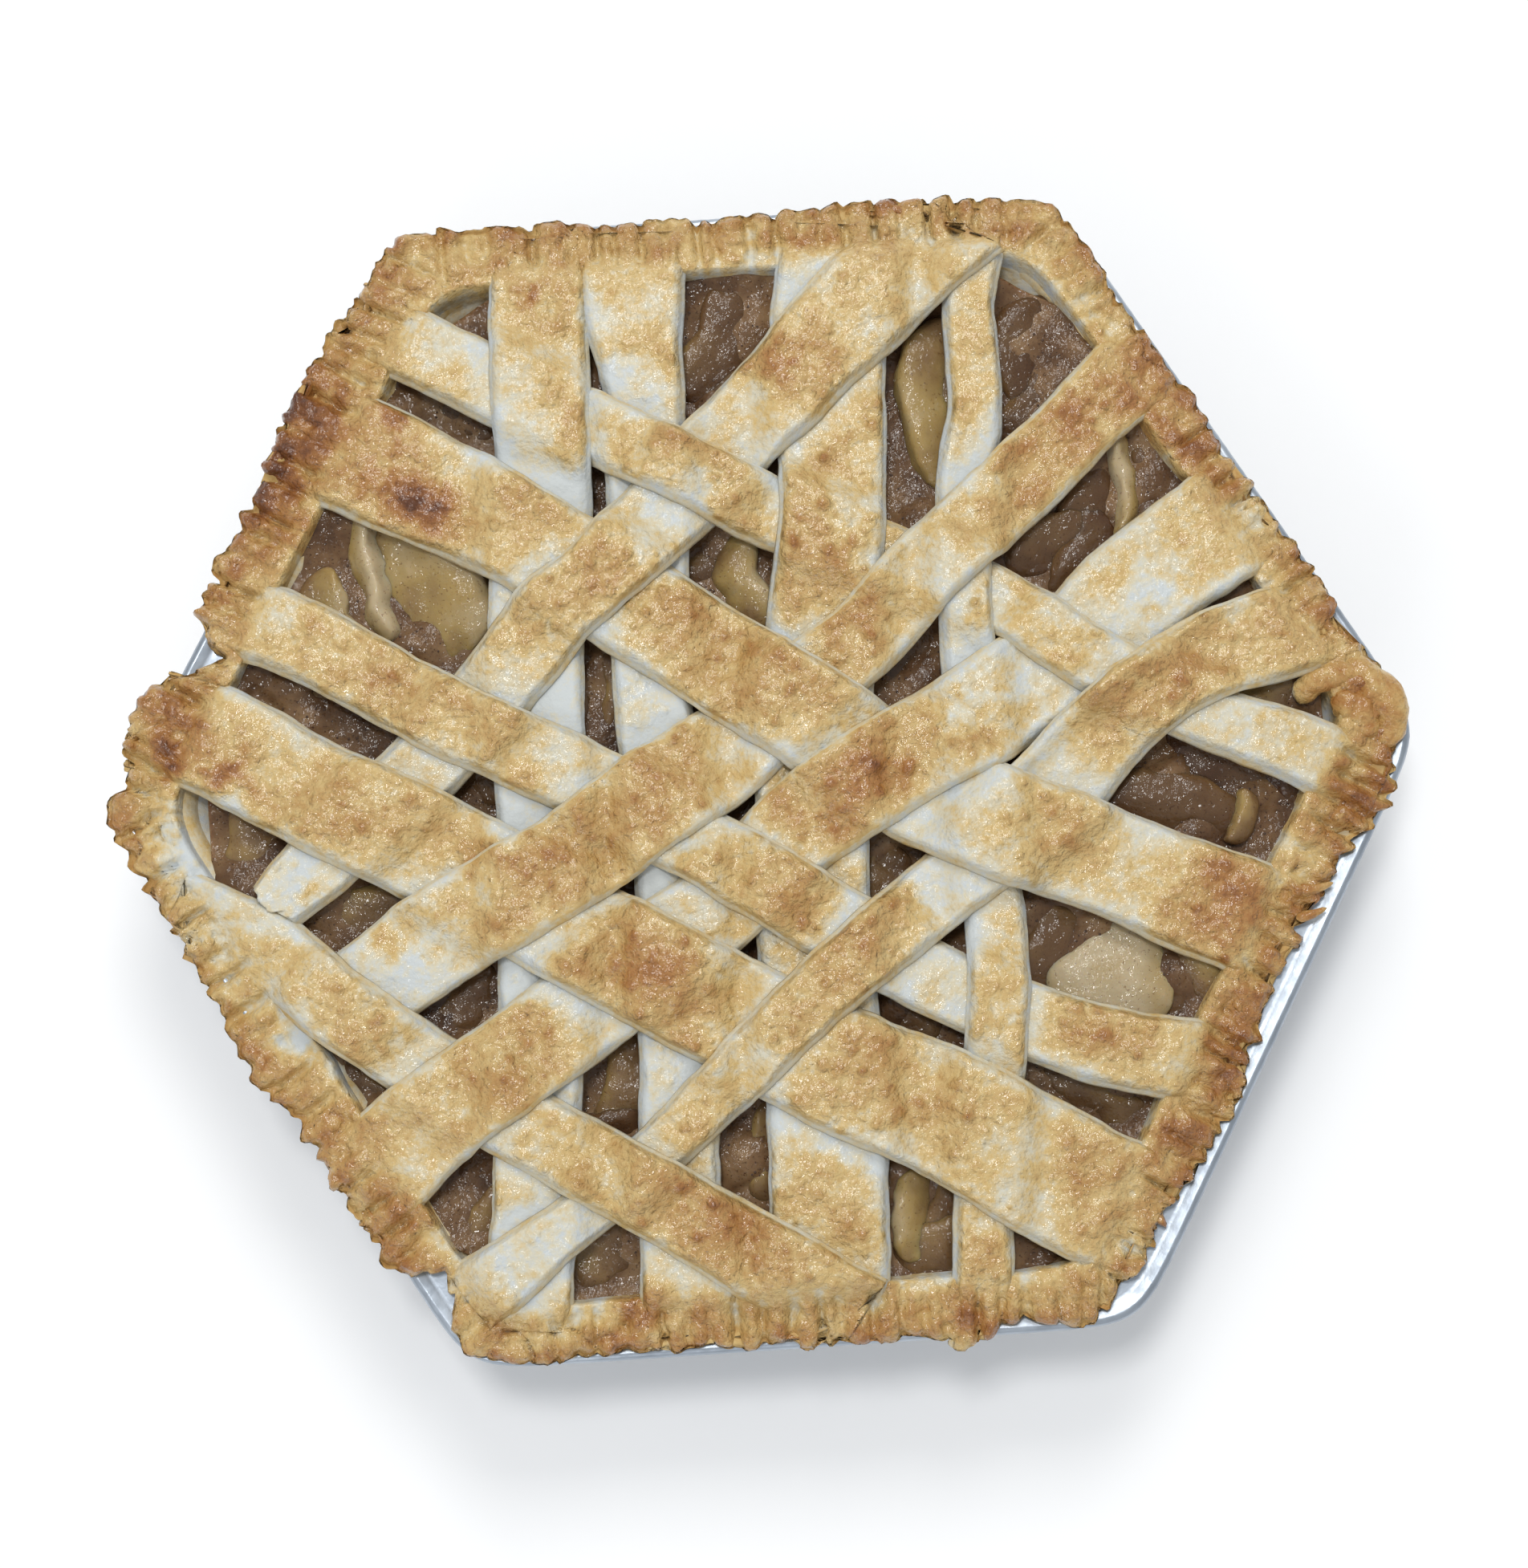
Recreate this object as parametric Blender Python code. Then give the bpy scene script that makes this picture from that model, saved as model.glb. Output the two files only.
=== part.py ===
"""Hexagonal lattice pie in its tin.

Frame: origin at the centre of the tin's flat base, +Z up, two of the tin's sides parallel to X.
Lengths in the tables below are millimetres.
"""
import math

import bmesh
import bpy
from mathutils import Vector

MM = 0.001

# Tin: pressed sheet with a flat base, sloping sides, a flange and a rolled bead.
TIN_APOTHEM = 127.0
TIN_CORNER = 13.0
TIN_DEPTH = 38.0
TIN_SHEET = 0.9

# Lower crust: lines the tin and lies over the flange as a crimped rim.
FIT_GAP = 0.3
CRUST_WALL = 3.2
RIM_THICKNESS = 4.0
RIM_CORNER = 10.0
RIM_REACH = {0: 126.0, 1: 126.5, 2: 129.0, 3: 128.5, 4: 126.0, 5: 121.5}
CRIMPS_PER_SIDE = 22
CRIMP_DEPTH = 0.8

# Filling: one solid up to just under the lowest strips.
FILLING_TOP = 42.8

# Lattice strips: centre line points and the width at each, left to right as woven.
STRIP_THICKNESS = 2.7
STRIP_STEP = 3.5
STRIP_RAMP = 5.5
STRIP_BASE = 43.8
STRIP_END_APOTHEM = 123.5
STRIPS = {
    "strip_upright_1": [(-41, 124, 21), (-47, 30, 20.5), (-50, -40, 18), (-57, -116, 18)],
    "strip_upright_2": [(-18.5, 126, 18), (-21, 20, 17), (-18.5, -22, 17), (-22, -88, 17), (-21, -123, 22)],
    "strip_upright_3": [(27.5, 123, 25), (21.5, 60, 21.5), (12.5, -5, 24), (11.5, -73, 25.5),
                        (9, -118, 25.5)],
    "strip_upright_4": [(61, 125, 10.5), (55.5, 85, 11), (49.5, 30, 10), (51.5, -35, 13), (42, -126, 13)],
    "strip_falling_1": [(-84, 113, 17), (-31, 82, 14.5), (10, 60.5, 14), (56, 38.5, 13.5),
                        (100, 9, 13), (138, -11, 17)],
    "strip_falling_2": [(-99, 89, 28), (-39, 52, 22.5), (37, -4, 24), (118, -42, 26)],
    "strip_falling_3": [(-121, 48, 17), (-42, 5, 16.5), (41, -48, 15.5), (88, -67, 17.5), (106, -72, 20)],
    "strip_falling_4": [(-134, 23, 23), (-43, -29, 24), (36, -76, 27), (83, -104, 31)],
    "strip_falling_5": [(-128, -21, 17.5), (-84, -52, 16), (0, -109, 19), (9, -116, 21)],
    "strip_rising_1": [(48, 124, 28), (9, 86, 18.5), (-52, 29, 17.5), (-106, -20, 12.5)],
    "strip_rising_2": [(96, 90, 20), (43, 46, 17.5), (9, 17, 19.5), (-39, -13.5, 21.5), (-98, -46, 19.5)],
    "strip_rising_3": [(119, 56, 23), (63, 18, 19.5), (36, 4, 21), (-27, -39, 20.5), (-94, -87, 25)],
    "strip_rising_4": [(130, 27, 20), (101, 18.5, 17), (68, -5.5, 18), (43, -25, 16),
                       (-27, -80, 11), (-67, -108, 16)],
}
# The lattice sits a little off the tin's centre.
LATTICE_OFFSET = (-3.2, -2.9)
STRIPS = {name: [(x + LATTICE_OFFSET[0], y + LATTICE_OFFSET[1], width) for x, y, width in points]
          for name, points in STRIPS.items()}

# The one strip that stops short of the rim.
SHORT_STRIP = "strip_rising_1"

# Which strips each strip passes over; every other strip it meets passes over it.
UPRIGHTS = ["strip_upright_1", "strip_upright_2", "strip_upright_3", "strip_upright_4"]
BENEATH = {
    "strip_upright_1": ["strip_falling_1"],
    "strip_upright_2": [],
    "strip_upright_3": ["strip_falling_1"],
    "strip_upright_4": ["strip_falling_1", "strip_falling_3"],
    "strip_falling_1": ["strip_upright_2", "strip_rising_1", "strip_rising_3"],
    "strip_falling_2": UPRIGHTS + ["strip_rising_2", "strip_rising_4"],
    "strip_falling_3": UPRIGHTS[:3] + ["strip_rising_1", "strip_rising_3"],
    "strip_falling_4": UPRIGHTS + ["strip_rising_1", "strip_rising_3"],
    "strip_falling_5": UPRIGHTS + ["strip_rising_2", "strip_rising_4"],
    "strip_rising_1": UPRIGHTS + ["strip_falling_2"],
    "strip_rising_2": UPRIGHTS + ["strip_falling_1", "strip_falling_3", "strip_falling_4"],
    "strip_rising_3": UPRIGHTS + ["strip_falling_2", "strip_falling_5"],
    "strip_rising_4": UPRIGHTS + ["strip_falling_1", "strip_falling_3", "strip_falling_4",
                                  "strip_rising_3"],
}

COLOURS = {
    "tin": (0.72, 0.74, 0.77, 1.0),
    "crust": (0.79, 0.62, 0.36, 1.0),
    "filling": (0.28, 0.15, 0.10, 1.0),
    "strip": (0.82, 0.66, 0.40, 1.0),
}


def clear_scene():
    for item in list(bpy.data.objects):
        bpy.data.objects.remove(item, do_unlink=True)
    for group in list(bpy.data.collections):
        bpy.data.collections.remove(group)


def make_material(name, colour, metallic, roughness):
    material = bpy.data.materials.new(name)
    material.use_nodes = True
    shader = material.node_tree.nodes["Principled BSDF"]
    shader.inputs["Base Color"].default_value = colour
    shader.inputs["Metallic"].default_value = metallic
    shader.inputs["Roughness"].default_value = roughness
    return material


def add_object(name, bm, collection, material):
    bmesh.ops.recalc_face_normals(bm, faces=bm.faces)
    mesh = bpy.data.meshes.new(name)
    bm.to_mesh(mesh)
    bm.free()
    mesh.materials.append(material)
    item = bpy.data.objects.new(name, mesh)
    collection.objects.link(item)
    return item


def side_normal(side):
    angle = math.radians(30 + 60 * side)
    return Vector((math.cos(angle), math.sin(angle)))


def corner_arc(reach, side, radius, steps):
    """Points of the rounded corner between a side and the next one, going anticlockwise."""
    first, second = side_normal(side), side_normal((side + 1) % 6)
    a, b = reach[side] - radius, reach[(side + 1) % 6] - radius
    det = first.x * second.y - first.y * second.x
    centre = Vector(((a * second.y - b * first.y) / det, (first.x * b - second.x * a) / det))
    points = []
    for k in range(steps + 1):
        angle = math.radians(30 + 60 * side + 60 * k / steps)
        points.append(centre + radius * Vector((math.cos(angle), math.sin(angle))))
    return points


def hexagon_ring(bm, reach, radius, z, steps=4, crimps=0, ripple=0.0, drop=0.0):
    """Ring of vertices round a hexagon; crimps adds alternating ridge and groove points along each side."""
    rings = []
    for side in range(6):
        before = corner_arc(reach, (side - 1) % 6, radius, steps)[-1]
        after = corner_arc(reach, side, radius, steps)
        for k in range(1, 2 * crimps):
            point = before.lerp(after[0], k / (2 * crimps))
            groove = k % 2
            point = point - side_normal(side) * ripple * groove
            rings.append(bm.verts.new((point.x * MM, point.y * MM, (z - drop * groove) * MM)))
        for point in after:
            rings.append(bm.verts.new((point.x * MM, point.y * MM, z * MM)))
    return rings


def join_rings(bm, lower, upper):
    count = len(lower)
    for k in range(count):
        n = (k + 1) % count
        bm.faces.new((lower[k], lower[n], upper[n], upper[k]))


def join_plain_to_crimped(bm, plain, crimped, steps, crimps):
    """Corner faces are quads; each straight side is one flat face with the crimp points on one edge."""
    corner = steps + 1
    dense = 2 * crimps - 1 + corner
    for side in range(6):
        for k in range(steps):
            p, c = side * corner + k, side * dense + 2 * crimps - 1 + k
            bm.faces.new((plain[p], plain[p + 1], crimped[c + 1], crimped[c]))
        start_p, end_p = (side * corner - 1) % len(plain), side * corner
        first = (side * dense - 1) % len(crimped)
        edge = [crimped[(first + k) % len(crimped)] for k in range(2 * crimps + 1)]
        bm.faces.new([plain[start_p], plain[end_p]] + edge[::-1])


def even(value):
    return {side: value for side in range(6)}


def loft_profile(bm, profile, closed_bottom, closed_top):
    rings = [hexagon_ring(bm, even(a), r, z) for a, r, z in profile]
    for lower, upper in zip(rings, rings[1:]):
        join_rings(bm, lower, upper)
    if closed_bottom:
        bm.faces.new(rings[0])
    if closed_top:
        bm.faces.new(rings[-1])
    return rings


def build_tin(collection, material):
    edge, corner, deep, sheet = TIN_APOTHEM, TIN_CORNER, TIN_DEPTH, TIN_SHEET
    bead = 1.6
    outside = [
        (99.5, 8.0, 0.0), (103.6, 9.0, 1.2), (105.5, 9.5, 4.8), (114.0, 11.0, deep - 1.6),
        (115.4, 11.0, deep), (edge - 3.4, corner - 1.5, deep),
    ]
    for k in range(7):
        angle = math.radians(205 + 42 * k)
        reach = edge - bead + bead * math.cos(angle)
        outside.append((reach, corner + reach - edge, deep + 0.35 + bead * math.sin(angle)))
    inside = [
        (edge - 3.6, corner - 1.7, deep + sheet), (115.0, 10.6, deep + sheet), (113.2, 10.4, deep - 1.2),
        (104.6, 8.9, 4.9), (102.9, 8.4, 2.0), (99.2, 7.7, sheet),
    ]
    bm = bmesh.new()
    loft_profile(bm, outside + inside, True, True)
    return add_object("tin", bm, collection, material)


def build_crust(collection, material):
    lip = TIN_DEPTH + TIN_SHEET + FIT_GAP
    over_bead = TIN_DEPTH + 2.4
    top = lip + RIM_THICKNESS
    outside = [
        (98.6, 7.4, TIN_SHEET + FIT_GAP), (102.4, 8.0, 2.3), (104.2, 8.5, 5.1),
        (112.8, 10.0, TIN_DEPTH - 1.0), (114.6, 10.2, lip),
    ]
    inside = [
        (111.2, 9.0, top - 1.2), (109.4, 8.6, TIN_DEPTH - 3.0), (101.2, 6.5, 7.0), (99.4, 6.0, 5.0),
        (97.0, 5.6, TIN_SHEET + FIT_GAP + CRUST_WALL),
    ]
    bm = bmesh.new()
    lower = loft_profile(bm, outside, True, False)
    under_reach = {side: min(reach - 4.2, 123.4) for side, reach in RIM_REACH.items()}
    step_reach = {side: under_reach[side] + 0.6 for side in RIM_REACH}
    skirt_reach = {side: reach - 0.4 for side, reach in RIM_REACH.items()}
    middle_reach = {side: (reach + 113.0) / 2 for side, reach in RIM_REACH.items()}
    under = hexagon_ring(bm, under_reach, RIM_CORNER, lip)
    step = hexagon_ring(bm, step_reach, RIM_CORNER, over_bead)
    many = CRIMPS_PER_SIDE
    skirt = hexagon_ring(bm, skirt_reach, RIM_CORNER, over_bead, crimps=many)
    brow = hexagon_ring(bm, RIM_REACH, RIM_CORNER, top - 0.9, crimps=many, ripple=0.7, drop=CRIMP_DEPTH)
    crest = hexagon_ring(bm, middle_reach, RIM_CORNER, top, crimps=many, drop=CRIMP_DEPTH)
    inner = hexagon_ring(bm, even(112.4), 9.4, top, crimps=many)
    join_rings(bm, lower[-1], under)
    join_rings(bm, under, step)
    join_plain_to_crimped(bm, step, skirt, 4, many)
    join_rings(bm, skirt, brow)
    join_rings(bm, brow, crest)
    join_rings(bm, crest, inner)
    upper = loft_profile(bm, inside, False, True)
    join_plain_to_crimped(bm, upper[0], inner, 4, many)
    return add_object("lower_crust", bm, collection, material)


def build_filling(collection, material):
    gap = FIT_GAP
    floor = TIN_SHEET + FIT_GAP + CRUST_WALL + gap
    profile = [
        (96.4, 5.2, floor), (98.9, 5.6, 5.3), (100.7, 6.1, 7.2), (109.0, 8.2, TIN_DEPTH - 2.8),
        (110.8, 8.6, 42.0), (109.6, 8.4, FILLING_TOP),
    ]
    bm = bmesh.new()
    loft_profile(bm, profile, True, True)
    return add_object("filling", bm, collection, material)


def joint_directions(points):
    """Sideways unit vector at each centre line point, stretched so mitred edges keep the width."""
    spots = [Vector(p[:2]) for p in points]
    normals = []
    for a, b in zip(spots, spots[1:]):
        run = (b - a).normalized()
        normals.append(Vector((-run.y, run.x)))
    joints = [normals[0]]
    for a, b in zip(normals, normals[1:]):
        middle = (a + b).normalized()
        joints.append(middle / middle.dot(a))
    joints.append(normals[-1])
    return spots, joints


def strip_edges(points, extra=0.0):
    """Left and right edge points of a strip, with both ends carried on past the rim."""
    spots, joints = joint_directions(points)
    left = [s + j * (p[2] / 2 + extra) for s, j, p in zip(spots, joints, points)]
    right = [s - j * (p[2] / 2 + extra) for s, j, p in zip(spots, joints, points)]
    for edge in (left, right):
        edge[0] = edge[0] + (edge[0] - edge[1]).normalized() * 30
        edge[-1] = edge[-1] + (edge[-1] - edge[-2]).normalized() * 30
    return left, right


def side_of(a, b, point):
    """Signed distance of a point to the left of the line from a to b."""
    run = (b - a).normalized()
    return run.x * (point.y - a.y) - run.y * (point.x - a.x)


def lift_under(points, spot):
    """How far a strip raises what lies over it at this spot: 1 on the strip, 0 beyond the ramp."""
    left, right = strip_edges(points)
    last = len(left) - 2
    for k in range(last + 1):
        if k < last and side_of(right[k + 1], left[k + 1], spot) < 0:
            continue
        outside = max(side_of(left[k], left[k + 1], spot), -side_of(right[k], right[k + 1], spot), 0.0)
        return max(0.0, 1.0 - outside / STRIP_RAMP)
    return 0.0


def lift(name, spot):
    return sum(lift_under(STRIPS[other], spot) for other in BENEATH[name])


def crease_lines(name):
    """Lines where the lifted surface of a strip changes slope, one set for each strip beneath it."""
    spots = [Vector(p[:2]) for p in STRIPS[name]]
    spots[0] = spots[0] + (spots[0] - spots[1]).normalized() * 16
    spots[-1] = spots[-1] + (spots[-1] - spots[-2]).normalized() * 16
    lines = []
    for other in BENEATH[name]:
        points = STRIPS[other]
        inner, outer = strip_edges(points), strip_edges(points, STRIP_RAMP)
        for k in range(len(points) - 1):
            a, b = Vector(points[k][:2]), Vector(points[k + 1][:2])
            length = (b - a).length
            reach = STRIP_RAMP + 14.0
            near = False
            for step in range(200):
                part = step / 199 * (len(spots) - 1)
                low = min(int(part), len(spots) - 2)
                spot = spots[low].lerp(spots[low + 1], part - low)
                along = (spot - a).dot((b - a).normalized())
                if -reach < along < length + reach and abs(side_of(a, b, spot)) < points[k][2] / 2 + 14:
                    near = True
            if near:
                for edge in inner + outer:
                    lines.append((edge[k], edge[k + 1]))
    return lines


def build_strip(name, collection, material):
    left, right = strip_edges(STRIPS[name])
    if name == SHORT_STRIP:
        left[-1] = left[-2] + (left[-1] - left[-2]) * 0.74
        right[-1] = right[-2] + (right[-1] - right[-2]) * 0.70
    bm = bmesh.new()
    rows = [(bm.verts.new((l.x * MM, l.y * MM, 0)), bm.verts.new((r.x * MM, r.y * MM, 0)))
            for l, r in zip(left, right)]
    for a, b in zip(rows, rows[1:]):
        bm.faces.new((a[0], a[1], b[1], b[0]))
    for side in range(6):
        out = side_normal(side)
        reach = min(STRIP_END_APOTHEM, RIM_REACH[side] - 3.0)
        bmesh.ops.bisect_plane(
            bm, geom=bm.verts[:] + bm.edges[:] + bm.faces[:], plane_co=(out * reach * MM).to_3d(),
            plane_no=out.to_3d(), clear_outer=True, dist=1e-7)
    for a, b in crease_lines(name):
        run = (b - a).normalized()
        bmesh.ops.bisect_plane(
            bm, geom=bm.verts[:] + bm.edges[:] + bm.faces[:], plane_co=(a * MM).to_3d(),
            plane_no=(-run.y, run.x, 0), dist=1e-5)
    bmesh.ops.remove_doubles(bm, verts=bm.verts, dist=2e-5)
    for vertex in bm.verts:
        vertex.co.z = (STRIP_BASE + STRIP_STEP * lift(name, vertex.co.to_2d() / MM)) * MM
    upper = bmesh.ops.extrude_face_region(bm, geom=bm.faces[:])
    raised = [item for item in upper["geom"] if isinstance(item, bmesh.types.BMVert)]
    bmesh.ops.translate(bm, verts=raised, vec=(0, 0, STRIP_THICKNESS * MM))
    return add_object(name, bm, collection, material)


clear_scene()
pie = bpy.data.collections.new("lattice_pie")
bpy.context.scene.collection.children.link(pie)
build_tin(pie, make_material("tin", COLOURS["tin"], 1.0, 0.35))
build_crust(pie, make_material("lower_crust", COLOURS["crust"], 0.0, 0.6))
build_filling(pie, make_material("filling", COLOURS["filling"], 0.0, 0.3))
for strip_name in STRIPS:
    build_strip(strip_name, pie, make_material(strip_name, COLOURS["strip"], 0.0, 0.55))
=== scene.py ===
import math
import random

import bpy
import numpy as np
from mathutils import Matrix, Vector


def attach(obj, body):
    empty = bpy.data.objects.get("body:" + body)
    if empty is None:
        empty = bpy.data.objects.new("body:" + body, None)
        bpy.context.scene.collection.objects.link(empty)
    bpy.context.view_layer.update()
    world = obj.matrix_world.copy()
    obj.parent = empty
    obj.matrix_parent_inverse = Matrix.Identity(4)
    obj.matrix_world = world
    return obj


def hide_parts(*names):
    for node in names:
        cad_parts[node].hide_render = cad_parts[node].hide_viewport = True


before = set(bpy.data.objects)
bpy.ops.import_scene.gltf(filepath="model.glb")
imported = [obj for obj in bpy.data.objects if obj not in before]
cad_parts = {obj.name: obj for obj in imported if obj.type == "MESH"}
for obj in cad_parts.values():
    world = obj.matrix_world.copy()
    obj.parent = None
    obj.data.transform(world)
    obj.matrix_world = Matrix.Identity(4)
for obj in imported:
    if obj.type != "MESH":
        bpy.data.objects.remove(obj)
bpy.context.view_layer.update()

# lengths below are millimetres unless a name says otherwise
mm = 0.001
rng = random.Random(41)


# smooth value noise, cell noise and small helpers

def hashed(ix, iy, iz, seed):
    h = (ix.astype(np.int64) * 374761393 + iy.astype(np.int64) * 668265263
         + iz.astype(np.int64) * 1274126177 + seed * 974634777) & 0xffffffff
    h = ((h ^ (h >> 13)) * 1103515245) & 0xffffffff
    h = ((h ^ (h >> 15)) * 2246822519) & 0xffffffff
    return ((h ^ (h >> 16)) & 0xffffff) / 8388607.5 - 1


def grain(x, y, z, size, seed):
    fx, fy, fz = x / size, y / size, z / size
    ix, iy, iz = np.floor(fx), np.floor(fy), np.floor(fz)
    tx, ty, tz = fx - ix, fy - iy, fz - iz
    tx, ty, tz = (t * t * t * (t * (t * 6 - 15) + 10) for t in (tx, ty, tz))
    total = 0
    for dx in (0, 1):
        for dy in (0, 1):
            for dz in (0, 1):
                share = (tx if dx else 1 - tx) * (ty if dy else 1 - ty) * (tz if dz else 1 - tz)
                total = total + share * hashed(ix + dx, iy + dy, iz + dz, seed)
    return total


def clouds(x, y, z, size, seed, octaves=3):
    # turned between octaves so that the lattice doesn't show
    total, amount = 0, 1.0
    for k in range(octaves):
        c, s = math.cos(0.7 + k), math.sin(0.7 + k)
        total = total + amount * grain(c * x - s * y, s * x + c * y, z + 7.1 * k, size, seed + k)
        size, amount = size * 0.48, amount * 0.5
    return total / 1.6


def mottle(x, y, size, seed, octaves=3):
    return clouds(x, y, 0 * x, size, seed, octaves)


def cells(x, y, size, seed):
    # distance to the nearest scattered point, in cell widths, and that point's own random number
    fx, fy = x / size, y / size
    ix, iy = np.floor(fx), np.floor(fy)
    best = np.full(np.shape(x), 9.0)
    own = np.zeros(np.shape(x))
    zero = np.zeros(np.shape(x))
    for dx in (-1, 0, 1):
        for dy in (-1, 0, 1):
            px = ix + dx + 0.5 + 0.45 * hashed(ix + dx, iy + dy, zero, seed)
            py = iy + dy + 0.5 + 0.45 * hashed(ix + dx, iy + dy, zero + 1, seed)
            d = np.hypot(fx - px, fy - py)
            closer = d < best
            best = np.where(closer, d, best)
            own = np.where(closer, hashed(ix + dx, iy + dy, zero + 2, seed), own)
    return best, own


def ease(low, high, value):
    t = np.clip((value - low) / (high - low), 0, 1)
    return t * t * (3 - 2 * t)


def blisters(x, y, size, seed, share=0.5):
    # scattered round bumps, 0 to 1; share is how many of the cells have one
    d, own = cells(x, y, size, seed)
    return np.where(own < share * 2 - 1, np.clip(1 - (d / (0.34 + 0.1 * own)) ** 2, 0, 1) ** 1.5, 0)


# hexagon measures: distance from the middle as if along a side's normal, with rounded corners

sideAngles = [math.radians(30 + 60 * k) for k in range(6)]


def hexReach(x, y):
    total = 0
    for a in sideAngles:
        total = total + np.clip((x * math.cos(a) + y * math.sin(a)) / 140, 0.0001, None) ** 34
    return 140 * total ** (1 / 34)


def hexRing(count):
    # directions all round, scaled so that a reach along each lands on the hexagon of that reach
    angle = np.linspace(0, 2 * math.pi, count)
    cx, cy = np.cos(angle), np.sin(angle)
    unit = hexReach(cx * 100, cy * 100) / 100
    return cx / unit, cy / unit


def bySide(x, y, values):
    total, weight = 0, 0
    r = np.hypot(x, y) + 1e-6
    for a, v in zip(sideAngles, values):
        w = np.clip((x * math.cos(a) + y * math.sin(a)) / r, 0, None) ** 30 + 1e-9
        total, weight = total + w * v, weight + w
    return total / weight


# strips: centre line points and width at each

strips = {
    "upright1": [(-41, 128, 22), (-42, 96, 21), (-43, 69, 21), (-46.5, 34, 20.5), (-47.5, -2, 19),
                 (-49.5, -37, 18), (-52, -72, 18), (-57, -118, 18)],
    "upright2": [(-19.5, 128, 24), (-20, 108, 22), (-19, 94, 17.5), (-19.5, 68, 17), (-21, 19, 16.5),
                 (-18.5, -21, 17), (-20.5, -65, 17), (-22, -88, 17), (-21.5, -109, 20), (-21, -128, 23)],
    "upright3": [(27, 127, 25.5), (23, 91, 25), (22, 62, 23), (17.5, 33, 24), (13.5, 3, 24.5),
                 (11.5, -32, 24.5), (11.5, -73, 25.5), (10.5, -94, 25.5), (8.5, -126, 25.5)],
    "upright4": [(62, 128, 11), (56, 106, 11), (56, 85, 11.5), (52, 63, 12), (50, 35, 11),
                 (50.5, 1, 11.5), (51.5, -35, 13), (49.5, -61, 13), (44.5, -96, 12.5), (41.5, -130, 13)],
    "falling1": [(-88, 115, 17), (-53, 94, 16), (-31, 82.5, 15), (7, 61, 15), (32, 49.5, 14.5),
                 (56, 38, 14), (77.5, 22, 14), (100, 9, 13), (121, 0, 15), (140, -12, 18)],
    "falling2": [(-103, 91, 29), (-86, 81, 26.5), (-72.5, 73.5, 25.5), (-55, 63, 23), (-39, 52, 22.5),
                 (-5, 27, 23), (20.5, 8, 23), (37, -4, 24), (55, -13.5, 24.5), (75.5, -22, 23),
                 (94, -31, 24), (122, -44, 27)],
    "falling3": [(-124, 50, 17), (-99, 39, 17.5), (-86, 31, 17), (-65, 17.5, 16.5), (-41.5, 5, 16.5),
                 (-23, -7, 16.5), (-5, -18.5, 16.5), (17.5, -34, 16.5), (40.5, -48.5, 15.5),
                 (57, -57, 16), (75.5, -64, 16.5), (88, -67, 17.5), (112, -73, 21)],
    "falling4": [(-140, 25, 23), (-120, 17.5, 24), (-98, 4, 23.5), (-76.5, -8, 24.5),
                 (-61, -17.5, 24.5), (-43.5, -29, 24), (-17.5, -45.5, 24), (0, -56, 25.5),
                 (17.5, -66, 27), (36, -75.5, 27.5), (53, -86, 28.5), (70.5, -97, 29), (90, -107, 32)],
    "falling5": [(-131, -19, 17.5), (-111, -30, 17.5), (-95, -43.5, 16.5), (-84, -52, 16),
                 (-68, -64, 16.5), (-52, -74.5, 16.5), (-32, -87, 17), (-14.5, -98.5, 17),
                 (0, -109, 19.5), (16, -121, 22)],
    "rising1": [(52, 129, 34), (36, 111, 24.5), (9.5, 86, 20.5), (-3, 74.5, 19.5), (-16.5, 61, 18.5),
                (-32, 47.5, 17), (-42.5, 39.5, 17.5), (-52, 29, 17.5), (-71.5, 9.5, 16.5),
                (-86, -2, 16.5), (-100, -14, 15), (-108, -21, 12)],
    "rising2": [(101, 94, 23), (84, 81, 17.5), (65, 64, 17), (42.5, 45.5, 17), (25, 29, 17),
                (8.5, 17.5, 19), (-8.5, 5, 22), (-23, -3, 22), (-38.5, -13.5, 21.5), (-55, -22, 21.5),
                (-71.5, -30, 21.5), (-85, -38.5, 21), (-98, -46.5, 19)],
    "rising3": [(124, 60, 28), (102.5, 46.5, 25), (89, 38, 24.5), (76.5, 27.5, 23), (63, 18.5, 22),
                (50, 10.5, 22.5), (36, 4, 21.5), (15.5, -7, 21), (2, -17.5, 20), (-11.5, -29, 20),
                (-27, -38.5, 20.5), (-43.5, -50, 21), (-64, -63, 21), (-80.5, -74.5, 22.5),
                (-98, -90, 26)],
    "rising4": [(136, 30, 22), (117, 25, 20), (100.5, 20, 18), (81, 8, 18.5), (68, -5, 20),
                (54, -16.5, 18.5), (42.5, -25, 16), (29, -35, 15.5), (9.5, -49.5, 14), (-9.5, -66, 13),
                (-27, -80.5, 11), (-43.5, -93, 11), (-54, -99.5, 12.5), (-70, -111, 17)],
}
uprights = ["upright1", "upright2", "upright3", "upright4"]
beneath = {
    "upright1": ["falling1"],
    "upright2": [],
    "upright3": ["falling1"],
    "upright4": ["falling1", "falling3"],
    "falling1": ["upright2", "rising1", "rising3"],
    "falling2": uprights + ["rising2", "rising4"],
    "falling3": uprights[:3] + ["rising1", "rising3"],
    "falling4": uprights + ["rising1", "rising3"],
    "falling5": uprights + ["rising2", "rising4"],
    "rising1": uprights + ["falling2"],
    "rising2": uprights + ["falling1", "falling3", "falling4"],
    "rising3": uprights + ["falling2", "falling5"],
    "rising4": uprights + ["falling1", "falling3", "falling4", "rising3"],
}
above = {name: [other for other in beneath if name in beneath[other]] for name in beneath}


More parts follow.
